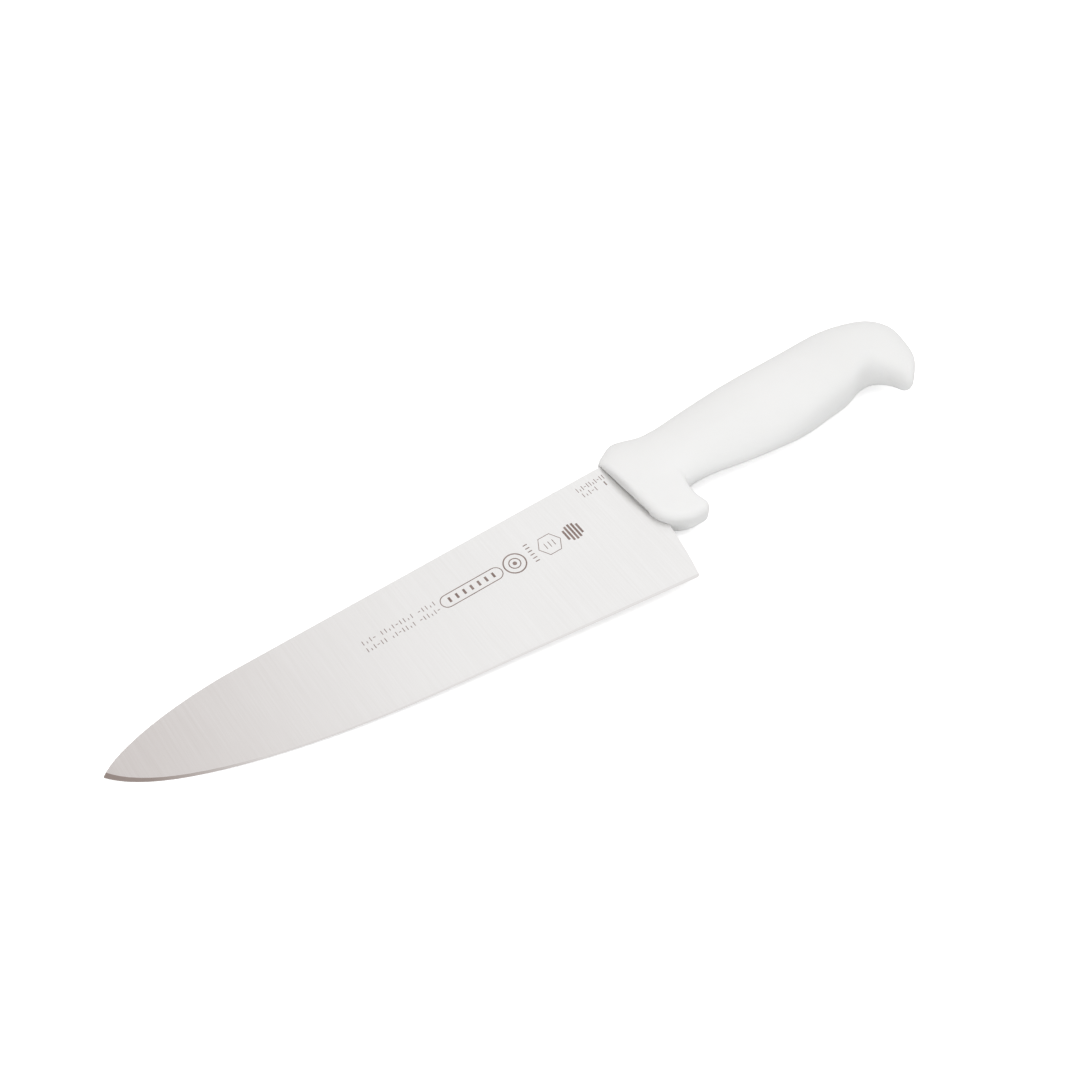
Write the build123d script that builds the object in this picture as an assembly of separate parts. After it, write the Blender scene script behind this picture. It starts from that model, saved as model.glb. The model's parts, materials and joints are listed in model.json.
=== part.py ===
from build123d import *
import os

# Chef knife with an 8 inch stainless blade and a moulded white handle. Millimetres.
# +X runs from the tip towards the butt, +Y from the edge towards the spine, +Z out of the left side.
# It is drawn from the point where the spine meets the flat front of the handle, halfway through the
# thickness, and written out with the middle of the whole knife's box at the origin.

# ---- blade outline
BLADE_LENGTH = 203.2          # 8 inches, handle front to tip
TIP = (-BLADE_LENGTH, -11.3)
SPINE_END = (-150.0, 0.0)     # where the straight spine starts to fall to the tip
SPINE_FALL = ((-175.0, -1.8), (-190.0, -5.0))
EDGE_CURVE = ((-195.0, -19.0), (-180.0, -27.1), (-150.0, -37.0), (-110.0, -45.0))
EDGE_STRAIGHT = (-70.0, -50.2)
HEEL = (-0.75, -59.1)         # heel corner, before rounding
HEEL_CURVE = ((2.0, -48.8), (4.0, -38.0))
HEEL_ROUND = 1.2

# ---- blade thickness
SPINE_HALF = 1.15             # half thickness of the spine at the handle, and of the tang
TAPER_ALONG = 0.0028          # half thickness lost per mm towards the tip
TAPER_DOWN = 0.0145           # half thickness lost per mm towards the edge
BEVEL_SLOPE = 0.25            # rise of each sharpened side over its width, 14 degrees
BEVEL_REACH = 2.6             # further than the widest bevel
EDGE_HALF = 0.02              # half thickness left at the sharp edge

# ---- tang, hidden in the handle
TANG_INSET = 1.5              # how far inside the handle the full thickness starts
NECK_RELIEF = 0.05            # up to there each side lies this much lower than the ground face
NECK_LEAD = 0.05              # how far outside the handle that lower strip begins
NECK_TOP = (5.0, 0.0)
NECK_BOTTOM = (5.2, -29.5)
TANG_START = 8.0
TANG_END = 104.0
TANG_TOP = -3.0
TANG_FRONT_BOTTOM = -23.0
TANG_REAR_BOTTOM = -14.0
TANG_END_ROUND = 4.0
TANG_HOLE_RADIUS = 3.0
TANG_HOLES = ((22.0, -12.5), (55.0, -10.7), (88.0, -9.1))

# ---- handle: one row per rib, from the front to the hooked butt
# spine-side point, belly-side point, half thickness, belly fullness
RIBS = (
    ((-3.0, -0.8), (-1.4, -24.5), 5.2, 0.70),
    ((0.0, 1.2), (0.0, -26.5), 5.7, 0.66),
    ((2.5, 3.0), (2.5, -27.5), 6.2, 0.64),
    ((5.5, 4.6), (5.5, -28.0), 6.5, 0.62),
    ((9.0, 5.8), (10.0, -28.0), 6.7, 0.60),
    ((12.5, 5.1), (13.5, -27.5), 6.8, 0.60),
    ((15.8, 3.9), (17.0, -26.8), 6.9, 0.60),
    ((19.0, 2.9), (20.0, -26.0), 7.0, 0.60),
    ((22.5, 2.5), (23.0, -25.2), 7.1, 0.60),
    ((27.0, 2.4), (27.0, -24.9), 7.4, 0.54),
    ((35.0, 2.9), (34.5, -25.5), 8.3, 0.47),
    ((46.0, 3.6), (46.0, -27.6), 9.6, 0.45),
    ((62.0, 4.2), (62.0, -29.4), 11.0, 0.52),
    ((78.0, 4.1), (77.0, -29.6), 11.6, 0.66),
    ((94.0, 4.1), (91.0, -27.8), 11.6, 0.75),
    ((109.0, 3.8), (101.2, -26.4), 11.3, 0.78),
    ((121.8, 0.7), (108.3, -24.0), 10.8, 0.78),
    ((130.4, -3.8), (114.4, -24.5), 9.8, 0.76),
    ((134.6, -10.8), (117.8, -27.5), 8.8, 0.72),
    ((134.2, -18.9), (119.2, -30.6), 7.6, 0.66),
    ((131.8, -27.1), (120.0, -32.9), 6.4, 0.66),
    ((127.8, -31.9), (120.7, -34.4), 4.9, 0.66),
    ((124.9, -34.6), (121.6, -35.3), 3.0, 0.66),
)
BEAK_TIP = (123.0, -35.7)
FULLNESS = 0.66               # how square the spine side of a cross-section is; 0.55 is an ellipse
FRONT_LEAN = 2.7              # degrees that the front face leans back towards the belly
FRONT_ROUND = 2.0             # rounding of the front face's rim
MOUTH_DEPTH = 1.0             # open gap where the blade enters the handle
MOUTH_GAP = 0.3

# ---- finger guard: a plate below the neck, thinner towards its tip, its root hidden inside the handle
GUARD_HALF = 6.0              # half thickness where the plate leaves the handle
GUARD_TAPER = 0.06            # half thickness lost per mm from there down
GUARD_TAPER_FROM = -20.0
GUARD_ROUND = 3.0             # rounding of the plate's rims
GUARD_FRONT = (1.3, -27.5)    # where the handle's straight front ends
GUARD_BELLY = ((4.7, -35.5), (10.2, -38.9))
GUARD_CORNER = (17.8, -36.5)  # centre of the rounded rear corner
GUARD_CORNER_RADIUS = 3.1
GUARD_CORNER_SWEEP = 100.0    # degrees; over 90 the guard's rear flares out towards the corner
GUARD_REAR = (19.9, -32.3)
GUARD_ROOT = ((22.5, -20.5), (20.0, -12.0), (0.6, -14.0))

# ---- core, hidden under the outer moulding: one row per rib, as above
CORE_RIBS = (
    ((3.0, -2.5), (3.0, -21.5), 4.2),
    ((16.0, -1.0), (16.0, -22.0), 4.4),
    ((34.0, -0.5), (34.0, -21.0), 5.2),
    ((62.0, 0.7), (62.0, -24.5), 7.6),
    ((94.0, 0.5), (94.0, -24.0), 8.2),
    ((112.0, -2.5), (112.0, -19.0), 6.2),
)


def rib_wire(spine, belly, half, belly_fullness=FULLNESS):
    """Closed cross-section of the handle: four cubic curves, one per quarter."""
    top = Vector(*spine, 0)
    bottom = Vector(*belly, 0)
    middle = (top + bottom) / 2

    def quarter(end, fullness, side):
        up = Vector(0, 0, side * half)
        return (end, end + up * fullness, middle + (end - middle) * fullness + up, middle + up)

    return Wire((
        Bezier(*quarter(top, FULLNESS, 1)),
        Bezier(*reversed(quarter(bottom, belly_fullness, 1))),
        Bezier(*quarter(bottom, belly_fullness, -1)),
        Bezier(*reversed(quarter(top, FULLNESS, -1))),
    ))


def front_plane():
    """Plane of the handle's flat front, its normal pointing into the handle."""
    return Plane((0, 0, 0), z_dir=Vector(1, 0, 0).rotate(Axis.Z, FRONT_LEAN))


def guard_plate():
    """Flat plate of the finger guard with rounded rims; its root ends inside the handle."""
    corner = CenterArc(GUARD_CORNER, GUARD_CORNER_RADIUS, -90, GUARD_CORNER_SWEEP)
    front = Line(GUARD_ROOT[-1], GUARD_FRONT)
    belly = Spline(GUARD_FRONT, *GUARD_BELLY, corner @ 0, tangents=(front % 1, corner % 0))
    rear = Spline(corner @ 1, GUARD_REAR, GUARD_ROOT[0], tangents=(corner % 1, (0.45, 1.0)))
    root = Polyline(*GUARD_ROOT)
    plate = extrude(make_face([front, belly, corner, rear, *root.edges()]), 2 * GUARD_HALF, both=True)
    for side in (1, -1):
        plane = Plane((0, GUARD_TAPER_FROM, side * GUARD_HALF), z_dir=(0, -GUARD_TAPER, side))
        plate = split(plate, bisect_by=plane, keep=Keep.BOTTOM)
    rims = [
        edge for edge in plate.edges()
        if abs(edge.center().Z) > GUARD_HALF / 2 and edge.center().Y < GUARD_ROOT[-1][1] - 2
    ]
    return fillet(rims, GUARD_ROUND)


def handle_form():
    """Whole outside of the handle as one solid, flat at the front with a rounded rim."""
    form = Solid.make_loft([rib_wire(*rib) for rib in RIBS] + [Vertex(*BEAK_TIP, 0)])
    form = split(form, bisect_by=front_plane(), keep=Keep.TOP).solid()
    front = form.faces().sort_by(Axis.X)[0]
    form = form.fillet(FRONT_ROUND, front.edges())
    return (form + guard_plate()).solid()


def edge_curves():
    """The cutting edge from tip to heel: a curve, then a straight run."""
    run = Vector(*HEEL) - Vector(*EDGE_STRAIGHT)
    curve = Spline(TIP, *EDGE_CURVE, EDGE_STRAIGHT, tangents=((0.6, -0.8), (run.X, run.Y)),
                   tangent_scalars=(1.0, 1.0))
    return curve, Line(EDGE_STRAIGHT, HEEL)


def blank_face():
    """Side outline of the whole steel piece, blade and tang, with the tang's holes."""
    inside = Polyline(NECK_BOTTOM, (TANG_START, TANG_FRONT_BOTTOM), (TANG_END, TANG_REAR_BOTTOM),
                      (TANG_END, TANG_TOP), (TANG_START, TANG_TOP), NECK_TOP)
    outline = [
        *edge_curves(),
        Spline(HEEL, *HEEL_CURVE, NECK_BOTTOM),
        *inside.edges(),
        Line(NECK_TOP, SPINE_END),
        Spline(SPINE_END, *SPINE_FALL, TIP, tangents=((-1.0, 0.0), (-0.75, -0.66))),
    ]
    face = make_face(outline)
    heel = face.vertices().sort_by(Axis.Y)[0]
    face = fillet(heel, HEEL_ROUND)
    tang_end = face.vertices().sort_by(Axis.X)[-2:]
    face = fillet(tang_end, TANG_END_ROUND)
    return face - [Pos(*hole) * Circle(TANG_HOLE_RADIUS) for hole in TANG_HOLES]


def ground_down(steel, half):
    """Steel flat-ground on both sides, with this half thickness where the spine meets the handle."""
    for side in (1, -1):
        plane = Plane(origin=(0, 0, side * half), z_dir=(-TAPER_ALONG, -TAPER_DOWN, side))
        steel = split(steel, bisect_by=plane, keep=Keep.BOTTOM)
    return steel


def bevel_cutter():
    """Steel taken off the left side along the whole edge to sharpen it."""
    curve, straight = edge_curves()
    direction = straight % 1
    path = Wire([curve, Line(EDGE_STRAIGHT, straight @ 1 + direction * 4)])
    start = path % 0
    low = -BEVEL_REACH * BEVEL_SLOPE + EDGE_HALF
    high = BEVEL_REACH * BEVEL_SLOPE + EDGE_HALF
    profile = Polygon((-BEVEL_REACH, low), (BEVEL_REACH, high), (-BEVEL_REACH, high), align=None)
    across = Plane(origin=path @ 0, x_dir=(-start.Y, start.X, 0), z_dir=start)
    return sweep(across * profile, path=path)


def make_blade(form):
    """Blade and tang in one piece: ground outside the handle, full thickness deeper inside it."""
    full = extrude(blank_face(), SPINE_HALF, both=True)
    inside = extrude(form.intersect(Plane.XY), SPINE_HALF * 2, both=True)
    covered = Pos(-NECK_LEAD, -NECK_LEAD) * inside
    deep = Pos(TANG_INSET, TANG_INSET) * inside
    neck = ground_down((full & covered) - deep, SPINE_HALF - NECK_RELIEF)
    blade = ground_down(full - covered - deep, SPINE_HALF)
    cutter = bevel_cutter()
    blade = blade - cutter - mirror(cutter, about=Plane.XY)
    return blade + neck + (full & deep)


def make_core(blade):
    """Hard plastic shot around the tang; it fills the tang's holes and locks to it."""
    core = Solid.make_loft([rib_wire(*rib) for rib in CORE_RIBS])
    return core - blade


def slot_mouth():
    """Narrow gap beside the blade at the handle's front."""
    length = MOUTH_GAP - GUARD_FRONT[1]
    width = 2 * (SPINE_HALF + MOUTH_GAP)
    block = Box(length, width, 2 * MOUTH_DEPTH, align=(Align.MAX, Align.CENTER, Align.CENTER))
    return front_plane() * Pos(MOUTH_GAP, 0, 0) * block


def make_grip(form, blade):
    """White outer moulding: everything of the handle's form that steel and core leave free."""
    core_space = Solid.make_loft([rib_wire(*rib) for rib in CORE_RIBS])
    return form - core_space - blade - slot_mouth()


def main():
    form = handle_form()
    blade = make_blade(form)
    parts = {
        "blade": blade,
        "handle_core": make_core(blade),
        "handle_grip": make_grip(form, blade),
    }
    middle = Compound(list(parts.values())).bounding_box().center()
    os.makedirs("parts", exist_ok=True)
    for name, shape in parts.items():
        export_step(Pos(-middle) * shape, f"parts/{name}.step")


main()
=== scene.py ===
"""Chef knife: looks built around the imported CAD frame.

Metres. The frame's +X points to the butt, +Y to the spine and +Z up.
"""
import json
import math

import bmesh
import bpy
from mathutils import Matrix, Vector
from mathutils.bvhtree import BVHTree


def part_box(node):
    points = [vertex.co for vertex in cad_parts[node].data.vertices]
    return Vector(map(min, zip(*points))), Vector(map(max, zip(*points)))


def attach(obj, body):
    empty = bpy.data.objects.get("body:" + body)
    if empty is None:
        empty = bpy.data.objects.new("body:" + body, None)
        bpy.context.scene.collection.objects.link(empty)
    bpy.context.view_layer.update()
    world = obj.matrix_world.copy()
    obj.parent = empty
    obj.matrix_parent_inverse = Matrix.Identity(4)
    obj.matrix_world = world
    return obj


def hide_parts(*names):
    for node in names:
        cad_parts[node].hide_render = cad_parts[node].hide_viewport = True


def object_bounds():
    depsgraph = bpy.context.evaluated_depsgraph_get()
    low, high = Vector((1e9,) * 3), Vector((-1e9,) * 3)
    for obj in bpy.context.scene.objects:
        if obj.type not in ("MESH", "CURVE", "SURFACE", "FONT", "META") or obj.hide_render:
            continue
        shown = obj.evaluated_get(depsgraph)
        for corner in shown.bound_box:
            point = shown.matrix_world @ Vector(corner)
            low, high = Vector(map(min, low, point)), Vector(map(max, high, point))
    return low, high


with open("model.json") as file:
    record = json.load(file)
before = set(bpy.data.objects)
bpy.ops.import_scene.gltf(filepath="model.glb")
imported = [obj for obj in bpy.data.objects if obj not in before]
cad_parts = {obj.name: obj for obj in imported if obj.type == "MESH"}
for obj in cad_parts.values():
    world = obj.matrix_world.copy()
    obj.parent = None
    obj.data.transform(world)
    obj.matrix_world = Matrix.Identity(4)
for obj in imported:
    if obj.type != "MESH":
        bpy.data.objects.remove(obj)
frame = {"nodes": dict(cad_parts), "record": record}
CAD_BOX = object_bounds()
NODES = frame["nodes"]
MM = 0.001

# ---- datum: where the spine meets the handle's front, halfway through the thickness
BLADE_LENGTH = 203.2 * MM
BLADE_LOW, BLADE_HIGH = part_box("blade")
DATUM = Vector((BLADE_LOW.x + BLADE_LENGTH, BLADE_HIGH.y, 0.0))

# ---- camera: eye and aim from the datum, and a normal lens on a full-frame sensor
CAMERA_AT = DATUM + Vector((-222.9, -273.7, 417.1)) * MM
CAMERA_AIM = DATUM + Vector((-36.9, -11.8, 0.0)) * MM
LENS = 50.0
SENSOR = 36.0

# ---- studio light: a white tent; strengths near the horizon, and overhead
TENT_TOP = 1.0
TENT_BACK = 0.72
TENT_FRONT = 0.84
TENT_LEFT = 1.7               # in front and beyond the tip
# spans of a direction's X, Y or Z over which the tent changes from one strength to the next
FRONT_TO_BACK_Y = (-0.7, 0.6)
LEFT_TO_BACK_Y = (-0.45, -0.05)
LEFT_TO_SIDES_X = (-0.75, -0.35)
SIDES_TO_TOP_Z = (0.0, 0.8)
PANEL_X = (0.0, 0.25)         # the darker panel ends here on the right
PANEL_Y = (-0.1, 0.4)         # and begins here towards the back
PANEL_Z = (0.40, 0.65)        # and here in height
PANEL_COLOUR = (0.55, 0.485, 0.465, 1.0)
KEY_FROM = (-0.05, 0.02, 1.0)
KEY_DISTANCE = 1.2
KEY_SIZE = 0.9
KEY_POWER = 4.9
FLOOR_HALF = 10.0
FLOOR_WHITE = 0.97
FLOOR_FIBRE = 0.005           # how far its fine grain is lighter and darker
FLOOR_BOUNCE = 0.80           # floor's brightness as the knife sees it
FLOOR_GLOW = 0.45             # overexposure of the floor and the tent as the camera sees them

# ---- blade: where the painted shade on the bevel starts towards the tip, and where it is darkest
BEVEL_SHADE_SPAN = (BLADE_LOW.x + 45 * MM, BLADE_LOW.x + 12 * MM)
# the bevel is told by its normal's Z: less than the ground side's, more than the spine's and the rear's
SIDE_TO_BEVEL = (0.9985, 0.990)
SPINE_TO_BEVEL = (0.80, 0.90)

# ---- handle skin
SKIN_VOXEL = 0.42 * MM
SKIN_SMOOTHING = 6
SKIN_SETTLING = 3
NOTCH_AT = DATUM + Vector((22.5, -25.5, 0.0)) * MM     # behind the guard, where it runs into the neck
NOTCH_REACH = 8.0 * MM
NOTCH_SMOOTHING = 26
SHOULDER_AT = DATUM + Vector((11.0, -21.0, 0.0)) * MM  # where the guard's side runs into the handle
SHOULDER_REACH = 13.0 * MM
SHOULDER_SMOOTHING = 14
SEAM_HEIGHT = 0.05 * MM
SEAM_HALF = 0.16 * MM
SEAM_FROM_FRONT = 3.0 * MM

# ---- densities in kg per cubic metre, to find how the knife rests
DENSITIES = {"blade": 7850.0, "handle_core": 1100.0, "handle_grip": 1100.0}

# ---- etched marks on the blade's left side, millimetres from the datum
MARK_PROUD = 0.012            # how far the dark oxide stands above the steel
MARK_SUNK = 0.03
THIN = 0.26                   # widths of the etched lines
FRAME_LINE = 0.34
INNER_RING_LINE = 0.4
BOLD = 0.5
DISC_AT = (-25.5, -18.2)
DISC_RADIUS = 3.7
DISC_STRIPE = 0.85
DISC_PITCH = 1.45
HEXAGON_AT = (-35.4, -18.0)
HEXAGON_RADIUS = 4.6
HEXAGON_PITCH = 1.7
LADDER_AT = (-42.9, -13.4)    # top rung
LADDER_PITCH = 1.6
LADDER_RUNG = (1.7, 0.4)
TARGET_AT = (-50.2, -17.8)
TARGET_RADII = (4.1, 2.1, 0.8)
FRAME_BOX = (-80.6, -55.6, -20.2, -15.0)
FRAME_BARS_AT = (-77.1, -17.6)
FRAME_BARS_PITCH = 3.0
FRAME_BAR = (0.9, 2.2)


# ------------------------------------------------------------------ node helpers
class Shader:
    """Short way to add and join shader nodes in one material."""

    def __init__(self, name):
        self.material = bpy.data.materials.new(name)
        self.material.use_nodes = True
        self.tree = self.material.node_tree
        self.tree.nodes.clear()
        self.output = self.add("ShaderNodeOutputMaterial")
        self.surface = self.add("ShaderNodeBsdfPrincipled")
        self.join(self.surface, "BSDF", self.output, "Surface")

    def add(self, kind, **settings):
        node = self.tree.nodes.new(kind)
        for key, value in settings.items():
            setattr(node, key, value)
        return node

    def join(self, source, output, target, socket):
        self.tree.links.new(source.outputs[output], target.inputs[socket])

    def put(self, target, socket, value):
        """value is a number, a colour or a (node, output) pair."""
        if isinstance(value, tuple) and isinstance(value[0], bpy.types.Node):
            self.join(value[0], value[1], target, socket)
        else:
            target.inputs[socket].default_value = value

    def place(self, scale):
        """Object coordinates stretched by scale."""
        coords = self.add("ShaderNodeTexCoord")
        mapping = self.add("ShaderNodeMapping")
        self.join(coords, "Object", mapping, "Vector")
        mapping.inputs["Scale"].default_value = scale
        return mapping, "Vector"

    def noise(self, scale, detail=2.0, roughness=0.5, stretch=(1, 1, 1)):
        node = self.add("ShaderNodeTexNoise")
        self.put(node, "Vector", self.place(stretch))
        self.put(node, "Scale", scale)
        self.put(node, "Detail", detail)
        self.put(node, "Roughness", roughness)
        return node, "Fac"

    def remap(self, value, low, high, to_low=0.0, to_high=1.0):
        node = self.add("ShaderNodeMapRange")
        self.put(node, "Value", value)
        self.put(node, "From Min", low)
        self.put(node, "From Max", high)
        self.put(node, "To Min", to_low)
        self.put(node, "To Max", to_high)
        return node, "Result"

    def math(self, operation, a, b=0.0):
        node = self.add("ShaderNodeMath", operation=operation)
        self.put(node, 0, a)
        self.put(node, 1, b)
        return node, "Value"

    def blend(self, amount, a, b):
        """Colour a where amount is 0, colour b where it is 1."""
        node = self.add("ShaderNodeMix", data_type="RGBA")
        self.put(node, "Factor", amount)
        self.put(node, 6, a)
        self.put(node, 7, b)
        return node, 2

    def bump(self, height, strength, distance):
        node = self.add("ShaderNodeBump")
        self.put(node, "Height", height)
        self.put(node, "Strength", strength)
        self.put(node, "Distance", distance)
        return node, "Normal"


def grey(value):
    return (value, value, value, 1.0)


# ------------------------------------------------------------------ materials
def satin_steel():
    """Stainless steel ground across the blade; the sharpened bevel carries painted shade, darker than
    the sides and darkest at the tip.
    """
    s = Shader("satin_steel")
    fine = s.noise(1.0, 2.0, 0.6, stretch=(9000, 60, 400))
    coarse = s.noise(1.0, 2.0, 0.5, stretch=(1500, 25, 200))
    cloud = s.noise(25.0, 3.0)
    lines = s.math("ADD", s.math("MULTIPLY", fine, 0.6), s.math("MULTIPLY", coarse, 0.4))
    side = s.blend(s.remap(lines, 0.3, 0.7), (0.855, 0.845, 0.835, 1), (0.925, 0.92, 0.915, 1))
    geometry = s.add("ShaderNodeNewGeometry")
    normal = s.add("ShaderNodeSeparateXYZ")
    s.join(geometry, "True Normal", normal, "Vector")
    upright = s.math("ABSOLUTE", (normal, "Z"))
    bevel = s.math("MULTIPLY", s.remap(upright, *SIDE_TO_BEVEL), s.remap(upright, *SPINE_TO_BEVEL))
    place = s.add("ShaderNodeSeparateXYZ")
    s.join(geometry, "Position", place, "Vector")
    # painted shade: the bevel's steel colour is darker than the sides and darkens further to brown-grey
    # towards the tip
    tip_shade = s.remap((place, "X"), *BEVEL_SHADE_SPAN)
    bevel_shade = s.blend(tip_shade, (0.80, 0.785, 0.775, 1), (0.42, 0.36, 0.335, 1))
    s.put(s.surface, "Metallic", 1.0)
    s.put(s.surface, "Base Color", s.blend(bevel, side, bevel_shade))
    rough = s.math("ADD", s.remap(lines, 0.3, 0.7, 0.30, 0.36), s.remap(cloud, 0.3, 0.7, -0.02, 0.02))
    s.put(s.surface, "Roughness", rough)
    s.put(s.surface, "Anisotropic", 0.6)
    along = s.add("ShaderNodeCombineXYZ")
    along.inputs["Y"].default_value = 1.0
    s.put(s.surface, "Tangent", (along, "Vector"))
    s.put(s.surface, "Normal", s.bump(lines, 0.12, 0.02 * MM))
    return s.material


def etched_oxide():
    """Dull brown-grey oxide left by electrochemical etching, uneven like a stencilled mark."""
    s = Shader("etched_oxide")
    speckle = s.noise(3000.0, 3.0, 0.7)
    wear = s.noise(260.0, 2.0, 0.5)
    amount = s.math("ADD", s.math("MULTIPLY", speckle, 0.6), s.math("MULTIPLY", wear, 0.4))
    tint = s.blend(s.remap(amount, 0.35, 0.65), (0.17, 0.115, 0.10, 1), (0.32, 0.25, 0.23, 1))
    s.put(s.surface, "Base Color", tint)
    s.put(s.surface, "Metallic", 0.3)
    s.put(s.surface, "Roughness", s.remap(speckle, 0.3, 0.7, 0.45, 0.65))
    s.put(s.surface, "Normal", s.bump(speckle, 0.2, 0.01 * MM))
    return s.material


def white_plastic():
    """Matte white moulded plastic with a very fine spark texture."""
    s = Shader("white_plastic")
    spark = s.noise(2200.0, 3.0, 0.6)
    cloud = s.noise(30.0, 3.0)
    tint = s.blend(s.remap(cloud, 0.3, 0.7), (0.732, 0.735, 0.729, 1), (0.752, 0.755, 0.751, 1))
    s.put(s.surface, "Base Color", tint)
    s.put(s.surface, "Roughness", s.remap(spark, 0.3, 0.7, 0.48, 0.60))
    s.put(s.surface, "Specular IOR Level", 0.4)
    s.put(s.surface, "Subsurface Weight", 0.15)
    s.put(s.surface, "Subsurface Radius", (1.0, 1.0, 0.9))
    s.put(s.surface, "Subsurface Scale", 1.5 * MM)
    s.put(s.surface, "Normal", s.bump(spark, 0.12, 0.05 * MM))
    return s.material


def core_plastic():
    """Hard off-white filler plastic, hidden inside the handle, with faint flow marks."""
    s = Shader("core_plastic")
    flow = s.noise(40.0, 4.0, 0.6, stretch=(1, 4, 4))
    grain = s.noise(1200.0, 2.0)
    tint = s.blend(s.remap(flow, 0.3, 0.7), (0.62, 0.61, 0.58, 1), (0.70, 0.69, 0.66, 1))
    s.put(s.surface, "Base Color", tint)
    s.put(s.surface, "Roughness", s.remap(grain, 0.3, 0.7, 0.45, 0.6))
    s.put(s.surface, "Normal", s.bump(grain, 0.1, 0.05 * MM))
    return s.material


def studio_floor():
    """White sweep; the knife sees it dimmer than the camera does, as when a card shades it."""
    s = Shader("studio_floor")
    fibre = s.noise(900.0, 3.0)
    path = s.add("ShaderNodeLightPath")
    dark, light = grey(FLOOR_WHITE - FLOOR_FIBRE), grey(FLOOR_WHITE + FLOOR_FIBRE)
    white = s.blend(s.remap(fibre, 0.3, 0.7), dark, light)
    s.put(s.surface, "Base Color", s.blend((path, "Is Camera Ray"), grey(FLOOR_BOUNCE), white))
    s.put(s.surface, "Roughness", 0.9)
    s.put(s.surface, "Specular IOR Level", 0.1)
    s.put(s.surface, "Emission Color", grey(1.0))
    s.put(s.surface, "Emission Strength", s.math("MULTIPLY", (path, "Is Camera Ray"), FLOOR_GLOW))
    return s.material


# ------------------------------------------------------------------ mesh helpers
def new_piece(name, mesh, material, body="root"):
    piece = bpy.data.objects.new(name, mesh)
    bpy.context.scene.collection.objects.link(piece)
    mesh.materials.clear()
    mesh.materials.append(material)
    if body:
        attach(piece, body)
    return piece


def applied(piece):
    """Bakes a piece's modifiers into its mesh."""
    bpy.context.view_layer.update()
    view = piece.evaluated_get(bpy.context.evaluated_depsgraph_get())
    mesh = bpy.data.meshes.new_from_object(view)
    piece.modifiers.clear()
    piece.data = mesh


def smooth_shaded(mesh):
    mesh.polygons.foreach_set("use_smooth", [True] * len(mesh.polygons))
    mesh.update()


def softened(piece, centre, reach, iterations):
    """Smooths a mesh near one place seen from the side, fading out towards reach."""
    group = piece.vertex_groups.new(name="soft")
    for vertex in piece.data.vertices:
        distance = (vertex.co.xy - centre.xy).length / reach
        if distance < 1.0:
            group.add([vertex.index], (1.0 - distance) ** 0.5, "REPLACE")
    smooth = piece.modifiers.new("soft", "SMOOTH")
    smooth.factor = 0.5
    smooth.iterations = iterations
    smooth.vertex_group = "soft"
    applied(piece)
    piece.vertex_groups.clear()


# ------------------------------------------------------------------ handle
def surface_tree(name):
    mesh = NODES[name].data
    return BVHTree.FromPolygons([v.co for v in mesh.vertices], [p.vertices for p in mesh.polygons])


def raised_seam(piece):
    """Fine raised parting line of the mould all round the outside of the handle, on the middle plane."""
    filling = (surface_tree("blade"), surface_tree("handle_core"))
    mesh = bmesh.new()
    mesh.from_mesh(piece.data)
    for step in (-2, -1, 0, 1, 2):
        bmesh.ops.bisect_plane(
            mesh, geom=mesh.verts[:] + mesh.edges[:] + mesh.faces[:], dist=0.01 * MM,
            plane_co=(0, 0, step * SEAM_HALF), plane_no=(0, 0, 1),
        )
    mesh.normal_update()
    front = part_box("handle_grip")[0].x + SEAM_FROM_FRONT
    for vertex in mesh.verts:
        if abs(vertex.co.z) > 1.1 * SEAM_HALF or vertex.co.x < front:
            continue
        if any(tree.find_nearest(vertex.co, SKIN_VOXEL)[0] for tree in filling):
            continue
        outward = Vector((vertex.normal.x, vertex.normal.y, 0.0)).normalized()
        vertex.co += outward * SEAM_HEIGHT * (1.0 - abs(vertex.co.z) / (2 * SEAM_HALF))
        for axis in (0, 1):
            vertex.co[axis] = min(max(vertex.co[axis], CAD_BOX[0][axis]), CAD_BOX[1][axis])
    mesh.to_mesh(piece.data)
    mesh.free()


def handle_skin(material):
    """The white moulding as an even, smooth mesh that follows the CAD surface, with its parting line."""
    cad = NODES["handle_grip"]
    piece = new_piece("handle_skin", cad.data.copy(), material)
    remesh = piece.modifiers.new("even", "REMESH")
    remesh.mode = "VOXEL"
    remesh.voxel_size = SKIN_VOXEL
    smooth = piece.modifiers.new("smooth", "SMOOTH")
    smooth.factor = 0.5
    smooth.iterations = SKIN_SMOOTHING
    wrap = piece.modifiers.new("wrap", "SHRINKWRAP")
    wrap.target = cad
    wrap.wrap_method = "NEAREST_SURFACEPOINT"
    settle = piece.modifiers.new("settle", "SMOOTH")
    settle.factor = 0.5
    settle.iterations = SKIN_SETTLING
    applied(piece)
    softened(piece, SHOULDER_AT, SHOULDER_REACH, SHOULDER_SMOOTHING)
    softened(piece, NOTCH_AT, NOTCH_REACH, NOTCH_SMOOTHING)
    raised_seam(piece)
    smooth_shaded(piece.data)
    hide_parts("handle_grip")


# ------------------------------------------------------------------ etched marks
def circle(centre, radius, count=48):
    x, y = centre
    turns = [2 * math.pi * i / count for i in range(count)]
    return [(x + radius * math.cos(t), y + radius * math.sin(t)) for t in turns]


def stadium(left, right, low, high, count=12):
    """Outline of a box with half-round ends."""
    radius = (high - low) / 2
    middle = (high + low) / 2
    turns = [math.pi * i / count for i in range(count + 1)]
    end = [(right - radius + radius * math.sin(t), middle - radius * math.cos(t)) for t in turns]
    start = [(left + radius - radius * math.sin(t), middle + radius * math.cos(t)) for t in turns]
    return end + start


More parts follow.
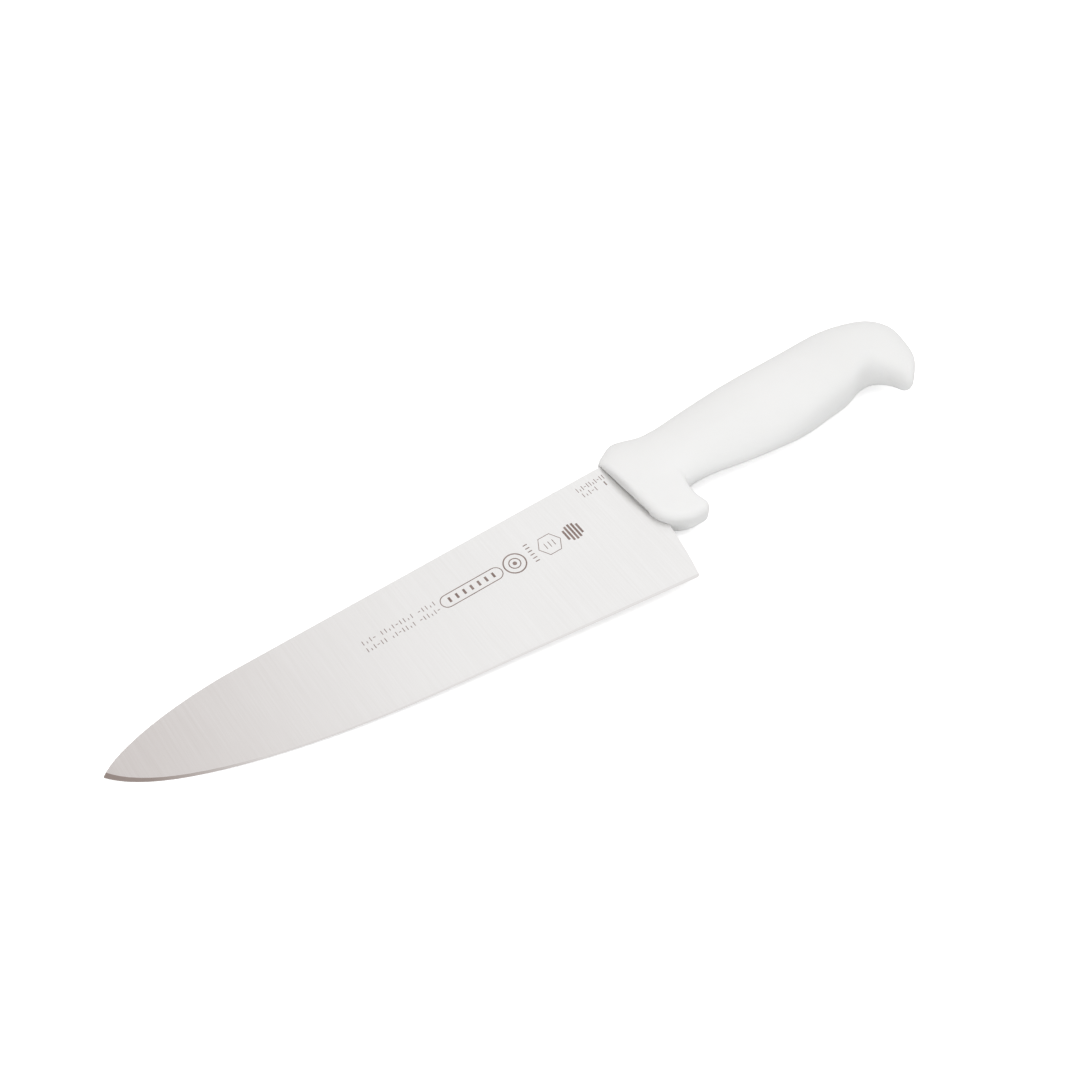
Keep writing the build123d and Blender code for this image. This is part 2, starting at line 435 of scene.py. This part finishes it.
class Etching:
    """Flat marks in millimetres from the datum, laid on the blade's left side as thin closed plates."""

    def __init__(self):
        self.mesh = bmesh.new()
        side = next(m for m in frame["record"]["mounts"] if m["name"] == "blade_left_side")
        self.touch = Vector(side["pos_m"])
        self.normal = Vector(side["axis"])

    def corners(self, loop, height):
        corners = []
        for x, y in loop:
            flat = DATUM + Vector((x, y, 0.0)) * MM
            slope = (flat.xy - self.touch.xy).dot(self.normal.xy) / self.normal.z
            corners.append(self.mesh.verts.new((flat.x, flat.y, self.touch.z - slope + height * MM)))
        return corners

    def wall(self, upper, lower):
        for i in range(len(upper)):
            self.mesh.faces.new((lower[i - 1], lower[i], upper[i], upper[i - 1]))

    def solid(self, loop):
        """Filled mark with an anticlockwise outline."""
        upper = self.corners(loop, MARK_PROUD)
        lower = self.corners(loop, -MARK_SUNK)
        self.mesh.faces.new(upper)
        self.mesh.faces.new(lower[::-1])
        self.wall(upper, lower)

    def outline(self, loop, width):
        """Line of one width along an anticlockwise closed loop."""
        outer, inner = [], []
        for i, point in enumerate(loop):
            here = Vector(point)
            before = (here - Vector(loop[i - 1])).normalized()
            after = (Vector(loop[(i + 1) % len(loop)]) - here).normalized()
            side = Vector((before.y + after.y, -before.x - after.x)).normalized()
            reach = width / 2 / side.dot(Vector((after.y, -after.x)))
            outer.append(here + side * reach)
            inner.append(here - side * reach)
        outer_up, inner_up = self.corners(outer, MARK_PROUD), self.corners(inner, MARK_PROUD)
        outer_low, inner_low = self.corners(outer, -MARK_SUNK), self.corners(inner, -MARK_SUNK)
        for i in range(len(loop)):
            self.mesh.faces.new((outer_up[i - 1], outer_up[i], inner_up[i], inner_up[i - 1]))
            self.mesh.faces.new((outer_low[i], outer_low[i - 1], inner_low[i - 1], inner_low[i]))
        self.wall(outer_up, outer_low)
        self.wall(inner_low, inner_up)

    def bar(self, x, y, width, height):
        """Upright bar about its middle."""
        w, h = width / 2, height / 2
        self.solid([(x - w, y - h), (x + w, y - h), (x + w, y + h), (x - w, y + h)])

    def print_line(self, start, end, y, height, groups):
        """Row of bars, half bars and dashes between two places: a neutral stand-in for small print."""
        slots = sum(groups) + len(groups) - 1
        pitch = (end - start) / slots
        x = start + pitch / 2
        shape = 0
        for count in groups:
            for _ in range(count):
                if shape % 5 == 1:
                    self.bar(x, y - height / 4, THIN, height / 2)
                elif shape % 5 == 3:
                    self.bar(x, y, 0.6 * pitch, THIN)
                else:
                    self.bar(x, y, THIN, height)
                shape += 1
                x += pitch
            x += pitch

    def piece(self, name, material):
        self.mesh.normal_update()
        mesh = bpy.data.meshes.new(name)
        self.mesh.to_mesh(mesh)
        self.mesh.free()
        new_piece(name, mesh, material)


def size_stamp(material):
    """Two short rows of fine strokes by the handle, and one bolder stroke."""
    mark = Etching()
    mark.print_line(start=-13.9, end=-1.3, y=-4.3, height=2.1, groups=(11,))
    mark.print_line(start=-13.4, end=-6.4, y=-7.3, height=2.0, groups=(5,))
    mark.bar(x=-2.9, y=-7.3, width=BOLD, height=2.0)
    mark.piece("size_stamp", material)


def round_marks(material):
    """A striped disc, a hexagon, a short ladder and a target in a row along the blade."""
    mark = Etching()
    x, y = DISC_AT
    for step in range(-2, 3):
        offset = DISC_PITCH * step
        mark.bar(x + offset, y, DISC_STRIPE, 2 * math.sqrt(DISC_RADIUS ** 2 - offset ** 2))
    x, y = HEXAGON_AT
    mark.outline(circle(HEXAGON_AT, HEXAGON_RADIUS, 6), THIN)
    for step in range(-1, 2):
        mark.bar(x + HEXAGON_PITCH * step, y, THIN, 2.6)
    x, y = LADDER_AT
    for step in range(6):
        mark.bar(x, y - LADDER_PITCH * step, *LADDER_RUNG)
    outer, inner, dot = TARGET_RADII
    mark.outline(circle(TARGET_AT, outer), BOLD)
    mark.outline(circle(TARGET_AT, inner), INNER_RING_LINE)
    mark.solid(circle(TARGET_AT, dot, 24))
    mark.piece("round_marks", material)


def framed_mark(material):
    """Seven bold bars in a frame with round ends."""
    mark = Etching()
    mark.outline(stadium(*FRAME_BOX), FRAME_LINE)
    x, y = FRAME_BARS_AT
    for step in range(7):
        mark.bar(x + FRAME_BARS_PITCH * step, y, *FRAME_BAR)
    mark.piece("framed_mark", material)


def care_lines(material):
    """Two lines of fine strokes in front of the frame."""
    mark = Etching()
    mark.print_line(start=-111.4, end=-81.8, y=-15.7, height=1.8, groups=(4, 9, 5))
    mark.print_line(start=-111.4, end=-81.8, y=-18.9, height=1.8, groups=(6, 7, 6))
    mark.piece("care_lines", material)


# ------------------------------------------------------------------ resting plane
def resting_plane():
    """Lowest facet of the knife's hull under its centre of mass: (point, upward normal)."""
    mass = 0.0
    moment = Vector()
    hull = bmesh.new()
    for name, density in DENSITIES.items():
        solid = bmesh.new()
        solid.from_mesh(NODES[name].data)
        bmesh.ops.triangulate(solid, faces=solid.faces)
        for face in solid.faces:
            a, b, c = (v.co for v in face.verts)
            part = a.dot(b.cross(c)) / 6 * density
            mass += part
            moment += part * (a + b + c) / 4
        solid.free()
        hull.from_mesh(NODES[name].data)
    centre = moment / mass
    result = bmesh.ops.convex_hull(hull, input=hull.verts)
    best = None
    for face in (g for g in result["geom"] if isinstance(g, bmesh.types.BMFace)):
        if face.normal.z > -0.5:  # doesn't face down
            continue
        down = face.normal
        foot = centre + down * (face.verts[0].co - centre).dot(down)
        sides = []
        for loop in face.loops:
            edge = loop.link_loop_next.vert.co - loop.vert.co
            sides.append(edge.cross(foot - loop.vert.co).dot(down) >= 0)
        if all(sides):
            best = (foot, -down.copy())
    hull.free()
    return best


# ------------------------------------------------------------------ stage
def floor(point, normal):
    mesh = bpy.data.meshes.new("floor")
    corners = [(x * FLOOR_HALF, y * FLOOR_HALF, 0) for x, y in ((-1, -1), (1, -1), (1, 1), (-1, 1))]
    mesh.from_pydata(corners, [], [(0, 1, 2, 3)])
    piece = new_piece("floor", mesh, studio_floor(), body=None)
    piece.matrix_world = Matrix.Translation(point) @ normal.to_track_quat("Z", "Y").to_matrix().to_4x4()


def key_light():
    """Square softbox overhead; the steel doesn't mirror it."""
    data = bpy.data.lights.new("key", "AREA")
    data.size = KEY_SIZE
    data.energy = KEY_POWER
    light = bpy.data.objects.new("key", data)
    bpy.context.scene.collection.objects.link(light)
    direction = Vector(KEY_FROM).normalized()
    light.location = CAMERA_AIM + direction * KEY_DISTANCE
    light.rotation_euler = direction.to_track_quat("Z", "Y").to_euler()
    light.visible_glossy = False


def studio_world():
    """White tent, brightest in front and to the left, with one dim warm panel high up to the left."""
    world = bpy.data.worlds.new("studio")
    world.use_nodes = True
    tree = world.node_tree
    back = tree.nodes["Background"]
    coords = tree.nodes.new("ShaderNodeTexCoord")
    axes = tree.nodes.new("ShaderNodeSeparateXYZ")
    tree.links.new(coords.outputs["Generated"], axes.inputs[0])

    def ramp(axis, low, high, to_low, to_high):
        """to_low and to_high are numbers or other nodes' outputs."""
        node = tree.nodes.new("ShaderNodeMapRange")
        node.interpolation_type = "SMOOTHSTEP"
        tree.links.new(axes.outputs[axis], node.inputs["Value"])
        values = {"From Min": low, "From Max": high, "To Min": to_low, "To Max": to_high}
        for socket, value in values.items():
            if isinstance(value, bpy.types.NodeSocket):
                tree.links.new(value, node.inputs[socket])
            else:
                node.inputs[socket].default_value = value
        return node.outputs["Result"]

    panel = ramp("X", *PANEL_X, ramp("Y", *PANEL_Y, 0.0, ramp("Z", *PANEL_Z, 0.0, 1.0)), 0.0)
    tint = tree.nodes.new("ShaderNodeMix")
    tint.data_type = "RGBA"
    tree.links.new(panel, tint.inputs["Factor"])
    tint.inputs[6].default_value = grey(1.0)
    tint.inputs[7].default_value = PANEL_COLOUR
    tree.links.new(tint.outputs[2], back.inputs["Color"])
    sides = ramp("Y", *FRONT_TO_BACK_Y, TENT_FRONT, TENT_BACK)
    left = ramp("Y", *LEFT_TO_BACK_Y, TENT_LEFT, TENT_BACK)
    around = ramp("X", *LEFT_TO_SIDES_X, left, sides)
    strength = tree.nodes.new("ShaderNodeMath")
    strength.operation = "MULTIPLY_ADD"
    tree.links.new(tree.nodes.new("ShaderNodeLightPath").outputs["Is Camera Ray"], strength.inputs[0])
    strength.inputs[1].default_value = FLOOR_GLOW
    tree.links.new(ramp("Z", *SIDES_TO_TOP_Z, around, TENT_TOP), strength.inputs[2])
    tree.links.new(strength.outputs["Value"], back.inputs["Strength"])
    bpy.context.scene.world = world


def camera():
    data = bpy.data.cameras.new("camera")
    data.lens = LENS
    data.sensor_width = SENSOR
    data.clip_start = 0.01
    view = bpy.data.objects.new("camera", data)
    bpy.context.scene.collection.objects.link(view)
    view.location = CAMERA_AT
    view.rotation_euler = (CAMERA_AT - CAMERA_AIM).to_track_quat("Z", "Y").to_euler()
    bpy.context.scene.camera = view


# ------------------------------------------------------------------ assembly
def dress(node, material):
    cad = NODES[node]
    cad.data.materials.clear()
    cad.data.materials.append(material)


dress("blade", satin_steel())
dress("handle_core", core_plastic())
handle_skin(white_plastic())
oxide = etched_oxide()
for mark in (size_stamp, round_marks, framed_mark, care_lines):
    mark(oxide)

floor(*resting_plane())
key_light()
studio_world()
camera()

scene = bpy.context.scene
scene.view_settings.view_transform = "Standard"
scene.view_settings.look = "None"
